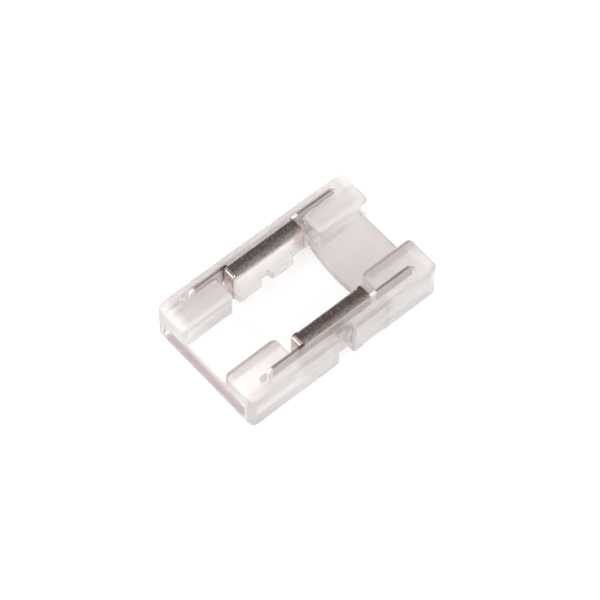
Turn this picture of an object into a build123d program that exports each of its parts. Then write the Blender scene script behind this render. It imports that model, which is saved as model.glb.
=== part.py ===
"""Clear two-pole connector for a flexible LED strip: a moulded housing and two pressed contacts."""
import os

from build123d import *

# Strip that the connector takes
strip_width = 10.0
strip_play = 0.15
strip_room = 1.05

# Housing, outside
length = 20.25
height = 4.3
side_wall = 1.02
corner_radius = 0.6
top_rounding = 0.55
base_rounding = 0.25

# Housing, floor and its window
floor_thickness = 0.9
ramp_length = 0.7
ramp_drop = 0.22
window_half_length = 4.4
window_bow = 0.5
ledge_width = 0.85
tab_reach = 0.6
tab_rounding = 0.3
long_tab_start = -3.2
long_tab_length = 2.6
short_tab_start = 0.4
short_tab_length = 2.5

# Housing, corner blocks and the strip way between them
block_length = 5.5
block_rounding = 0.6
inner_rounding = 0.5
entry_gap = 5.0
roof_lead_in = 0.3

# Housing, features of the near side wall
notch_start = -0.6
notch_width = 1.45
notch_foot_depth = 0.85
notch_top_depth = 0.35
notch_rounding = 0.25
lift_start = 1.9
lift_length = 2.4
lift_height = 0.4

# Contacts
metal = 0.25
contact_rise = 0.5
contact_gap = 0.7
band_width = 1.5
fold_radius = 0.45
fold_relief = 0.08
edge_roll = 0.2
web_height = 1.9
web_clearance = 0.08
lip_height = 0.5
leg_height = 3.25
tooth_height = 0.3
teeth_per_leg = 2
tail_corner = 0.3
slot_clearance = 0.08
slot_outer_room = 0.38
slot_end_wall = 1.75
left_end_room = 0.9
right_end_room = 0.25

# Sizes that follow from the ones above
channel_width = strip_width + 2 * strip_play
width = channel_width + 2 * side_wall
near_face = -width / 2
block_start = length / 2 - block_length
ledge_edge = channel_width / 2 - ledge_width
contact_top = height + contact_rise
web_outer = channel_width / 2 - web_clearance
web_middle = web_outer - metal / 2
web_bottom = contact_top - web_height
band_inner = web_outer - band_width
slot_width = metal + slot_clearance + slot_outer_room
slot_middle = web_middle + (slot_outer_room - slot_clearance) / 2
slot_length = length - 2 * slot_end_wall
band_length = 2 * (block_start - contact_gap)
sheet_top = contact_top - metal / 2
bend_radius = fold_radius - metal / 2
leg_middle = band_length / 2 - metal / 2
leg_width = band_width - metal - fold_relief
leg_end = contact_top - leg_height
tooth_width = (leg_width - edge_roll) / teeth_per_leg
band_end = band_length / 2 - fold_radius
left_end = slot_length / 2 - left_end_room
right_end = slot_length / 2 - right_end_room

os.makedirs("parts", exist_ok=True)

# One clear moulding: four corner blocks, two side walls and a floor with a window
with BuildPart() as housing:
    with BuildSketch(Plane.XY):
        RectangleRounded(length, width, corner_radius)
    extrude(amount=height)

    # Rounded rim all round the top, and softer edges round the base
    fillet(housing.faces().sort_by(Axis.Z)[-1].edges(), radius=top_rounding)
    fillet(housing.faces().sort_by(Axis.Z)[0].edges(), radius=base_rounding)

    # Way for the strip between the blocks, open above
    with BuildSketch(Plane.XY.offset(floor_thickness)):
        Rectangle(length, entry_gap)
    extrude(amount=height, mode=Mode.SUBTRACT)

    # Bay between the four blocks, where the contacts lie open
    with BuildSketch(Plane.XY.offset(floor_thickness)):
        Rectangle(2 * block_start, channel_width)
    extrude(amount=height, mode=Mode.SUBTRACT)

    # Inner corners of the blocks, rounded in plan
    block_corners = (
        housing.edges()
        .filter_by(Axis.Z)
        .filter_by_position(Axis.Y, -entry_gap / 2, entry_gap / 2)
        .filter_by_position(Axis.X, -block_start, block_start)
    )
    fillet(block_corners, radius=block_rounding)

    # Upper inner edges of the blocks, rounded from the strip way round to the bay
    inner_edges = (
        housing.edges()
        .group_by(Axis.Z)[-1]
        .filter_by_position(Axis.Y, -web_middle, web_middle)
        .filter_by_position(Axis.X, -right_end, right_end)
    )
    fillet(inner_edges, radius=inner_rounding)

    # Channel for the edges of the strip, under the blocks
    with BuildSketch(Plane.XY.offset(floor_thickness)):
        Rectangle(length, channel_width)
    extrude(amount=strip_room, mode=Mode.SUBTRACT)

    # Lead-in at both ends: a ramp down the floor and a slope up the roof of the channel
    with BuildSketch(Plane.XZ):
        with BuildLine():
            Polyline(
                (length / 2 - ramp_length, floor_thickness),
                (length / 2, floor_thickness - ramp_drop),
                (length / 2, floor_thickness + strip_room + roof_lead_in),
                (length / 2 - roof_lead_in, floor_thickness + strip_room),
                (length / 2 - ramp_length, floor_thickness + strip_room),
                close=True,
            )
        make_face()
        mirror(about=Plane.YZ)
    extrude(amount=channel_width / 2, both=True, mode=Mode.SUBTRACT)

    # Window through the floor, its two ends bowed inwards
    with BuildSketch(Plane.XY):
        with BuildLine():
            corner_x = window_half_length + window_bow
            Line((-corner_x, ledge_edge), (corner_x, ledge_edge))
            ThreePointArc((corner_x, ledge_edge), (window_half_length, 0), (corner_x, -ledge_edge))
            Line((corner_x, -ledge_edge), (-corner_x, -ledge_edge))
            ThreePointArc((-corner_x, -ledge_edge), (-window_half_length, 0), (-corner_x, ledge_edge))
        make_face()
    extrude(amount=floor_thickness, mode=Mode.SUBTRACT)

    # Tabs under the strip ends, a long and a short one on each side of the window
    with BuildSketch(Plane.XY):
        for start, size in ((long_tab_start, long_tab_length), (short_tab_start, short_tab_length)):
            with Locations((start + size / 2, ledge_edge)):
                RectangleRounded(size, 2 * tab_reach, tab_rounding)
        mirror(about=Plane.XZ)
    extrude(amount=floor_thickness)

    # Slots in the block tops for the tails of the contacts
    with BuildSketch(Plane.XY.offset(web_bottom)):
        with Locations((0, slot_middle), (0, -slot_middle)):
            SlotOverall(slot_length, slot_width)
    extrude(amount=height, mode=Mode.SUBTRACT)

    # Notch in the near side wall, down its whole height and deeper towards the foot
    with BuildSketch(Plane.YZ.offset(notch_start)):
        with BuildLine():
            Polyline(
                (near_face, 0),
                (near_face + notch_foot_depth, 0),
                (near_face + notch_top_depth, height),
                (near_face, height),
                close=True,
            )
        make_face()
    extrude(amount=notch_width, mode=Mode.SUBTRACT)
    notch_corners = (
        housing.edges()
        .filter_by(Axis.Z)
        .filter_by_position(Axis.X, notch_start, notch_start + notch_width)
        .group_by(Axis.Y)[0]
    )
    fillet(notch_corners, radius=notch_rounding)

    # Shallow relief under the near side wall, beside the foot that the notch leaves
    with BuildSketch(Plane.XY):
        with Locations((lift_start + lift_length / 2, near_face)):
            Rectangle(lift_length, 2 * side_wall)
    extrude(amount=lift_height, mode=Mode.SUBTRACT)

# A contact pressed from one strip: a band in the middle and a tail along the slot at each end
with BuildPart() as far_contact:
    # Band with its web on the outer side and a low lip on the inner side
    with BuildSketch(Plane.YZ.offset(-band_end)):
        with BuildLine():
            FilletPolyline(
                (web_middle, web_bottom),
                (web_middle, sheet_top),
                (band_inner + metal / 2, sheet_top),
                (band_inner + metal / 2, contact_top - lip_height),
                radius=bend_radius,
            )
        trace(line_width=metal)
    extrude(amount=2 * band_end)

    # Legs folded down at both ends of the band, clear of the web
    with BuildSketch(Plane.XZ.offset(-band_inner)):
        with BuildLine():
            FilletPolyline(
                (band_end - metal, sheet_top),
                (leg_middle, sheet_top),
                (leg_middle, leg_end),
                radius=bend_radius,
            )
        trace(line_width=metal)
        mirror(about=Plane.YZ)
    extrude(amount=-leg_width)

    # Inner corners of both folds, rolled over from the band down the leg
    inner_edges = far_contact.edges().filter_by_position(Axis.Y, band_inner, band_inner)
    fold_edges = inner_edges.filter_by(GeomType.CIRCLE).filter_by(lambda fold: fold.radius > bend_radius)
    fillet(fold_edges, radius=edge_roll)

    # Pointed teeth along the lower edge of each leg
    with BuildSketch(Plane.YZ.offset(leg_middle - metal / 2)):
        for tooth in range(teeth_per_leg):
            tooth_start = band_inner + edge_roll + tooth * tooth_width
            with BuildLine():
                Polyline(
                    (tooth_start, leg_end),
                    (tooth_start + tooth_width, leg_end),
                    (tooth_start + tooth_width / 2, leg_end - tooth_height),
                    close=True,
                )
            make_face()
    teeth = extrude(amount=metal)
    mirror(teeth, about=Plane.YZ)

    # Tails that stand in the slots, with their upper outer corners cut off
    with BuildSketch(Plane.XZ.offset(-web_middle)):
        for side, tail_end in ((-1, left_end), (1, right_end)):
            with BuildLine():
                Polyline(
                    (side * band_end, web_bottom),
                    (side * tail_end, web_bottom),
                    (side * tail_end, contact_top - tail_corner),
                    (side * (tail_end - tail_corner), contact_top),
                    (side * band_end, contact_top),
                    close=True,
                )
            make_face()
    extrude(amount=metal / 2, both=True)

# The other contact is its mirror image
with BuildPart() as near_contact:
    mirror(far_contact.part, about=Plane.XZ)

housing.part.label = "housing"
export_step(housing.part, "parts/housing.step")
far_contact.part.label = "far_contact"
export_step(far_contact.part, "parts/far_contact.step")
near_contact.part.label = "near_contact"
export_step(near_contact.part, "parts/near_contact.step")
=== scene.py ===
"""Looks of a clear connector for a flexible LED strip: moulded plastic, plated contacts, white studio."""
import math

import bpy
from mathutils import Matrix, Vector

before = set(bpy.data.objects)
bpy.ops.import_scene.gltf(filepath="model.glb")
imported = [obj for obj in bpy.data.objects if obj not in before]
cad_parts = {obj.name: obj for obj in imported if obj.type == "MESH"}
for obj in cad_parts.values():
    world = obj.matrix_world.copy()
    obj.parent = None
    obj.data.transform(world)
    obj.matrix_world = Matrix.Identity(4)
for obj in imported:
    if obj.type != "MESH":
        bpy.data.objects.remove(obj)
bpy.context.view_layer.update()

# Viewpoint of the photograph, in degrees, metres and pixels of a 600 pixel square
AZIMUTH = 40.735
ELEVATION = 58.968
ROLL = 0.067
DISTANCE = 0.27439
FOCAL_PX = 3288.2
CENTRE_PX = (297.61, 310.67)
FRAME_PX = 600.0
SENSOR_MM = 36.0
CLIP_RANGE = (0.01, 10.0)

WHITE = (1.0, 1.0, 1.0, 1.0)

# Glow of the studio: in reflections from the foot of the walls up to the ceiling, and even on matt surfaces
FOOT_GLOW = 1.1
WALL_GLOW = 0.55
SIDE_GLOW = 0.22
CEILING_GLOW = 0.12
CEILING_TINT = (1.0, 0.86, 0.83, 1.0)
MATT_GLOW = 0.65

# Softboxes, all aimed at the part: name, place, side in metres, power in watts
LAMPS = (
    ("key", (-0.16, 0.02, 0.38), 0.24, 0.46),
    ("fill", (-0.24, -0.24, 0.27), 0.20, 0.37),
    ("rim", (-0.34, 0.16, 0.13), 0.08, 0.09),
)

# Round table just under the part, so that no two faces share one plane
TABLE_LEVEL = -0.00002
TABLE_RADIUS = 0.6
TABLE_SIDES = 64
TABLE_COLOUR = (0.92, 0.92, 0.92, 1.0)
TABLE_GLOW = 0.24

# Plastic: tints where it is clear, where it is hazy with painted shade, where shade alone is painted, for
# rays that leave it, and for its shadow
CLEAR_TINT = (0.985, 0.945, 0.94, 1.0)
# Hazy tint: partly milkiness of the plastic, partly painted shade of uneven light over the part
HAZE_AND_SHADE_TINT = (0.63, 0.565, 0.56, 1.0)
# Painted shade: a darker pink painted on the lead-in ramp, the near blocks' inner edge, the window's left end
# and the notch
PAINTED_SHADE_TINT = (0.60, 0.54, 0.535, 1.0)
LEAVING_TINT = (1.0, 0.995, 0.993, 1.0)
SHADOW_TINT = (0.995, 0.99, 0.99, 1.0)

# Where the looks of the plastic change, in metres: start and end of each change, or one place
FLOOR_TO_BLOCK = (0.001, 0.0018)
INSIDE_WALLS = (0.0048, 0.0052)
RIGHT_FLOOR = (0.0048, 0.0068)
LEFT_OF_WINDOW = (-0.0044, -0.0040)
LEFT_WINDOW_END = (-0.0044, -0.0042)
UNDER_FAR_BLOCK = (0.0028, 0.0032)
LEFT_LEAD_IN = (-0.0095, -0.0093)
BLOCK_ENDS = (0.0090, 0.0098)
BLOCK_INNER_EDGE = (0.0026, 0.0032)
NEAR_BLOCK_EDGE = -0.0027
FAR_WALL = (0.0051, 0.0057)
BOTH_WALLS = (0.0050, 0.0056)
NEAR_WALL_LEFT = (-0.0092, -0.0035)
MIDDLE_LINE = (-0.001, 0.001)
NOTCH_MIDDLE = 0.000125
NOTCH_HALF = (0.0007, 0.0009)
NOTCH_BACK = (-0.0056, -0.0052)
BAY_ENDS = (0.0044, 0.0056)
BAY_WALL = (-0.0052, -0.0050)
BAY_WALL_FOOT = (0.001, 0.0025)

# On the blocks the hazy tint and its painted shade grow to the far side, and along them by this share a metre
SLANT = 77.0
# Bounds of the hazy tint and painted shade on the blocks
SLANT_HAZE_AND_SHADE = (-0.0065, 0.0096)

# Contacts: tones of the plating, of its matt parts and painted sheen, and of the painted glints
PLATING_TONES = ((0.64, 0.54, 0.51, 1.0), (0.74, 0.65, 0.62, 1.0))
# Matt tone: tails and specks of wear, and the lighter painted sheen along the bands
MATT_AND_SHEEN_TONE = (0.82, 0.77, 0.75, 1.0)
# Painted glint: a near-white tone painted on small spots as highlights
PAINTED_GLINT_TONE = (0.98, 0.96, 0.95, 1.0)

# Where the looks of the contacts change, in metres
FOLDS = (0.00345, 0.00365)
TAILS = (0.00405, 0.00435)
RIGHT_ROOT_START = (0.0035, 0.0036)
RIGHT_ROOT_END = (0.0041, 0.0043)
WEB_FACE = (0.00478, 0.00484)
TAIL_TOP = (0.00472, 0.00479)
LEFT_TIP = -0.0073
LEFT_TIP_HALF = (0.0002, 0.0004)
BAND_MIDDLE = 0.00432
# Painted sheen: bounds of a lighter strip painted along the -y side of each band, standing in for light on
# its bent edge
PAINTED_SHEEN_EDGE = (-0.00075, -0.00005)


class Nodes:
    """Short way to add and link the nodes of one material or world."""

    def __init__(self, tree):
        self.tree = tree
        tree.nodes.clear()

    def feed(self, socket, value):
        if hasattr(value, "links"):
            self.tree.links.new(value, socket)
        else:
            socket.default_value = value

    def add(self, kind, **inputs):
        node = self.tree.nodes.new(kind)
        for name, value in inputs.items():
            self.feed(node.inputs[name.replace("_", " ")], value)
        return node

    def join(self, kind, *parts):
        node = self.tree.nodes.new(kind)
        for socket, part in zip(node.inputs, parts):
            self.feed(socket, part)
        return node.outputs[0]

    def output(self, kind, surface):
        self.feed(self.add(kind).inputs["Surface"], surface)

    def parts(self, vector):
        return self.add("ShaderNodeSeparateXYZ", Vector=vector).outputs

    def math(self, operation, first, *others):
        for other in others:
            node = self.tree.nodes.new("ShaderNodeMath")
            node.operation = operation
            self.feed(node.inputs[0], first)
            self.feed(node.inputs[1], other)
            first = node.outputs[0]
        return first

    def add_up(self, *values):
        return self.math("ADD", *values)

    def minus(self, a, b):
        return self.math("SUBTRACT", a, b)

    def times(self, *values):
        return self.math("MULTIPLY", *values)

    def largest(self, *values):
        return self.math("MAXIMUM", *values)

    def size(self, value):
        return self.math("ABSOLUTE", value, 0.0)

    def ramp(self, value, bounds, low=0.0, high=1.0):
        """Number that goes from low to high while the value goes from one bound to the other."""
        return self.add(
            "ShaderNodeMapRange",
            Value=value,
            From_Min=bounds[0],
            From_Max=bounds[1],
            To_Min=low,
            To_Max=high,
        ).outputs[0]

    def fall(self, value, bounds, high=1.0, low=0.0):
        return self.ramp(value, bounds, high, low)

    def near(self, value, middle, bounds):
        """One where the value is close to the middle, and zero further off than both bounds."""
        return self.fall(self.size(self.minus(value, middle)), bounds)

    def mix(self, kind, factor, a, b):
        node = self.tree.nodes.new("ShaderNodeMix")
        node.data_type = kind
        first = {"FLOAT": 2, "VECTOR": 4, "RGBA": 6}[kind]
        for place, value in ((0, factor), (first, a), (first + 1, b)):
            self.feed(node.inputs[place], value)
        return node.outputs[first // 2 - 1]

    def noise(self, vector, scale, detail, roughness=0.5):
        return self.add(
            "ShaderNodeTexNoise",
            Vector=vector,
            Scale=scale,
            Detail=detail,
            Roughness=roughness,
        ).outputs["Fac"]


def new_material(name):
    material = bpy.data.materials.new(name)
    material.use_nodes = True
    return material, Nodes(material.node_tree)


def place_object(name, data):
    holder = bpy.data.objects.new(name, data)
    bpy.context.scene.collection.objects.link(holder)
    return holder


def clear_plastic():
    """Clear moulded plastic: slightly milky, with a faint cloudiness and painted shade that grow to the far
    side, painted shade in the notch and along some edges, and flow marks.
    """
    material, n = new_material("clear_moulded_plastic")
    place = n.add("ShaderNodeTexCoord").outputs["Object"]
    along, across, height = n.parts(place)
    cloud = n.times(n.noise(place, 260.0, 3.0), 0.004)
    flow = n.noise(place, 900.0, 4.0, 0.6)
    grain = n.noise(place, 5200.0, 2.0)
    shape = n.add("ShaderNodeNewGeometry").outputs
    off_middle = n.size(across)
    off_centre = n.size(along)
    low = n.fall(height, FLOOR_TO_BLOCK)
    inside = n.fall(off_middle, INSIDE_WALLS)

    # Painted shade: a darker tint painted on the ramp of the left lead-in, the inner edge of the near blocks,
    # the left end of the window and the notch
    lead_in = n.times(n.fall(along, LEFT_LEAD_IN), low, inside)
    block_edge = n.times(n.near(across, NEAR_BLOCK_EDGE, (0.00022, 0.00034)), n.minus(1.0, low))
    upright = n.fall(n.size(n.parts(shape["True Normal"])["Z"]), (0.3, 0.6))
    window_end = n.times(upright, inside, n.fall(along, LEFT_WINDOW_END), low)
    notch = n.times(n.near(along, NOTCH_MIDDLE, NOTCH_HALF), n.fall(across, NOTCH_BACK))
    # Painted shade mask: the largest of these darker places
    painted_shade = n.largest(lead_in, block_edge, window_end, n.times(notch, 0.8))

    # Hazy tint with painted shade on the floor, the blocks and the two long walls
    under_far_block = n.times(n.ramp(across, UNDER_FAR_BLOCK), n.fall(along, LEFT_OF_WINDOW, 0.7))
    right_floor = n.ramp(n.add_up(along, cloud), RIGHT_FLOOR)
    floor_haze_and_shade = n.times(n.largest(right_floor, under_far_block), inside)
    slant = n.times(across, n.minus(1.0, n.times(along, SLANT)))
    block_haze_and_shade = n.times(
        n.ramp(n.add_up(slant, cloud), SLANT_HAZE_AND_SHADE),
        n.fall(off_centre, BLOCK_ENDS),
        n.ramp(off_middle, BLOCK_INNER_EDGE, 0.35),
        n.fall(across, FAR_WALL, 1.0, 0.65),
    )
    wall_haze_and_shade = n.times(n.fall(along, NEAR_WALL_LEFT, 0.6, 0.15), n.fall(across, MIDDLE_LINE, 1.0, 0.4))
    beside_bay = n.times(
        n.fall(off_centre, BAY_ENDS, 0.75),
        n.fall(across, BAY_WALL),
        n.ramp(height, BAY_WALL_FOOT, 0.6),
    )
    wall_haze_and_shade = n.times(n.largest(wall_haze_and_shade, notch, beside_bay), n.ramp(off_middle, BOTH_WALLS))
    # Hazy tint with painted shade: darker on the right floor, under the far-left block, towards the far side
    # of the blocks and on the long walls
    haze_and_shade = n.largest(n.mix("FLOAT", low, block_haze_and_shade, floor_haze_and_shade), wall_haze_and_shade)

    entering = n.mix("RGBA", painted_shade, n.mix("RGBA", haze_and_shade, CLEAR_TINT, HAZE_AND_SHADE_TINT), PAINTED_SHADE_TINT)
    # Rays leaving the plastic take the painted shade as well
    leaving = n.mix("RGBA", painted_shade, LEAVING_TINT, PAINTED_SHADE_TINT)
    level = n.mix("VECTOR", low, shape["Normal"], shape["True Normal"])
    bump = n.add("ShaderNodeBump", Strength=0.15, Distance=0.00002, Height=flow, Normal=level)
    body = n.add(
        "ShaderNodeBsdfPrincipled",
        Base_Color=n.mix("RGBA", shape["Backfacing"], entering, leaving),
        Roughness=n.ramp(grain, (0.3, 0.7), 0.10, 0.18),
        IOR=1.48,
        Transmission_Weight=0.66,
        Normal=bump.outputs[0],
    )
    shadow_ray = n.add("ShaderNodeLightPath").outputs["Is Shadow Ray"]
    see_through = n.add("ShaderNodeBsdfTransparent", Color=SHADOW_TINT)
    surface = n.join("ShaderNodeMixShader", shadow_ray, body.outputs[0], see_through.outputs[0])
    n.output("ShaderNodeOutputMaterial", surface)
    return material


def plated_metal():
    """Bright plating over pressed sheet: fine rolling lines, specks of wear, a painted sheen along one side
    of each band, painted glints, matt sheared tails.
    """
    material, n = new_material("plated_contact_metal")
    place = n.add("ShaderNodeTexCoord").outputs["Object"]
    along, across, height = n.parts(place)
    off_centre = n.size(along)
    squeezed = n.add("ShaderNodeMapping", Vector=place, Scale=(0.12, 1.0, 1.0)).outputs[0]
    lines = n.noise(squeezed, 9000.0, 3.0)
    specks = n.noise(place, 4200.0, 3.0, 0.7)
    patches = n.noise(place, 700.0, 3.0)

    # Painted glints: light spots painted where the right tails begin, and on the tips of the left tails
    root = n.times(
        n.ramp(along, RIGHT_ROOT_START),
        n.fall(along, RIGHT_ROOT_END),
        n.ramp(n.size(across), WEB_FACE),
    )
    # Painted glint mask: tail roots on the right and tail tips on the left
    painted_glint = n.largest(root, n.near(along, LEFT_TIP, LEFT_TIP_HALF))

    # Matt parts: the tails, less so along their tops, specks of wear on the flat band, a lighter painted
    # sheen along its -y side, and the painted glints
    tail = n.times(n.ramp(off_centre, TAILS), n.fall(height, TAIL_TOP, 1.0, 0.5))
    off_band = n.minus(across, n.times(n.math("SIGN", across, 0.0), BAND_MIDDLE))
    # Painted sheen: lighter speckled strip along the -y side of each band
    painted_sheen_edge = n.times(n.fall(off_band, PAINTED_SHEEN_EDGE, 0.85), n.ramp(specks, (0.25, 0.6)))
    wear_and_sheen = n.times(n.largest(n.ramp(specks, (0.52, 0.85), 0.0, 0.7), painted_sheen_edge), n.fall(off_centre, FOLDS))
    # The matt mask also carries the painted sheen and the painted glints
    matt = n.largest(wear_and_sheen, tail, painted_glint)

    tone = n.mix("RGBA", n.ramp(patches, (0.35, 0.65)), *PLATING_TONES)
    # Tone with the matt parts and painted sheen, then the painted glints
    tone = n.mix("RGBA", painted_glint, n.mix("RGBA", matt, tone, MATT_AND_SHEEN_TONE), PAINTED_GLINT_TONE)
    bump = n.add("ShaderNodeBump", Strength=0.2, Distance=0.00001, Height=lines)
    body = n.add(
        "ShaderNodeBsdfPrincipled",
        Base_Color=tone,
        Metallic=n.times(n.minus(1.0, n.times(matt, 0.45)), n.minus(1.0, painted_glint)),
        Roughness=n.add_up(n.ramp(lines, (0.3, 0.7), 0.16, 0.28), n.times(matt, 0.3)),
        Normal=bump.outputs[0],
    )
    n.output("ShaderNodeOutputMaterial", body.outputs[0])
    return material


def dress(name, material):
    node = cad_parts[name]
    node.data.materials.clear()
    node.data.materials.append(material)


def white_floor():
    """Pale table that glows where it is seen, to meet the white backdrop, and keeps the object's shadow."""
    angles = [side * math.tau / TABLE_SIDES for side in range(TABLE_SIDES)]
    rim = [(math.cos(a) * TABLE_RADIUS, math.sin(a) * TABLE_RADIUS, TABLE_LEVEL) for a in angles]
    mesh = bpy.data.meshes.new("floor")
    mesh.from_pydata(rim, [], [tuple(range(TABLE_SIDES))])
    floor = place_object("floor", mesh)
    material, n = new_material("white_table")
    path = n.add("ShaderNodeLightPath").outputs
    seen = n.largest(path["Is Camera Ray"], path["Is Glossy Ray"], path["Is Transmission Ray"])
    matt = n.add("ShaderNodeBsdfDiffuse", Color=TABLE_COLOUR)
    glow = n.add("ShaderNodeEmission", Color=WHITE, Strength=n.times(seen, TABLE_GLOW))
    n.output("ShaderNodeOutputMaterial", n.join("ShaderNodeAddShader", matt.outputs[0], glow.outputs[0]))
    mesh.materials.append(material)


def studio():
    """White studio: in reflections it has a dim, warm ceiling and darker sides. Three softboxes light it."""
    world = bpy.data.worlds.new("studio")
    bpy.context.scene.world = world
    world.use_nodes = True
    n = Nodes(world.node_tree)
    path = n.add("ShaderNodeLightPath").outputs
    _, sideways, height = n.parts(n.add("ShaderNodeTexCoord").outputs["Generated"])
    mirrored = n.times(
        n.ramp(height, (0.1, 0.4), FOOT_GLOW, WALL_GLOW),
        n.ramp(n.size(sideways), (0.5, 0.85), 1.0, SIDE_GLOW),
        n.ramp(height, (0.35, 0.72), 1.0, CEILING_GLOW / WALL_GLOW),
    )
    glow = n.mix("FLOAT", path["Is Glossy Ray"], MATT_GLOW, mirrored)
    glow = n.mix("FLOAT", path["Is Transmission Ray"], glow, 1.0)
    overhead = n.times(
        path["Is Glossy Ray"],
        n.ramp(height, (0.3, 0.72)),
        n.minus(1.0, path["Is Transmission Ray"]),
    )
    background = n.add(
        "ShaderNodeBackground",
        Color=n.mix("RGBA", overhead, WHITE, CEILING_TINT),
        Strength=n.largest(path["Is Camera Ray"], glow),
    )
    n.output("ShaderNodeOutputWorld", background.outputs[0])
    for name, place, side, power in LAMPS:
        lamp = bpy.data.lights.new(name, "AREA")
        lamp.shape = "SQUARE"
        lamp.size = side
        lamp.energy = power
        holder = place_object(name, lamp)
        holder.location = place
        holder.rotation_euler = (-Vector(place)).to_track_quat("-Z", "Y").to_euler()


def camera():
    """Camera at the photograph's viewpoint."""
    azimuth, elevation, roll = (math.radians(angle) for angle in (AZIMUTH, ELEVATION, ROLL))
    ahead = Vector((
        math.sin(azimuth) * math.cos(elevation),
        math.cos(azimuth) * math.cos(elevation),
        -math.sin(elevation),
    ))
    right = Vector((math.cos(azimuth), -math.sin(azimuth), 0.0))
    up = right.cross(ahead)
    turned_right = right * math.cos(roll) + up * math.sin(roll)
    turned_up = up * math.cos(roll) - right * math.sin(roll)
    data = bpy.data.cameras.new("camera")
    data.sensor_width = SENSOR_MM
    data.lens = FOCAL_PX / FRAME_PX * SENSOR_MM
    data.shift_x = (FRAME_PX / 2 - CENTRE_PX[0]) / FRAME_PX
    data.shift_y = (CENTRE_PX[1] - FRAME_PX / 2) / FRAME_PX
    data.clip_start, data.clip_end = CLIP_RANGE
    holder = place_object("camera", data)
    turn = Matrix((turned_right, turned_up, -ahead)).transposed().to_4x4()
    holder.matrix_world = Matrix.Translation(-ahead * DISTANCE) @ turn
    bpy.context.scene.camera = holder


dress("housing", clear_plastic())
metal = plated_metal()
for contact in ("far_contact", "near_contact"):
    dress(contact, metal)
white_floor()
studio()
camera()
bpy.context.scene.view_settings.view_transform = "Standard"
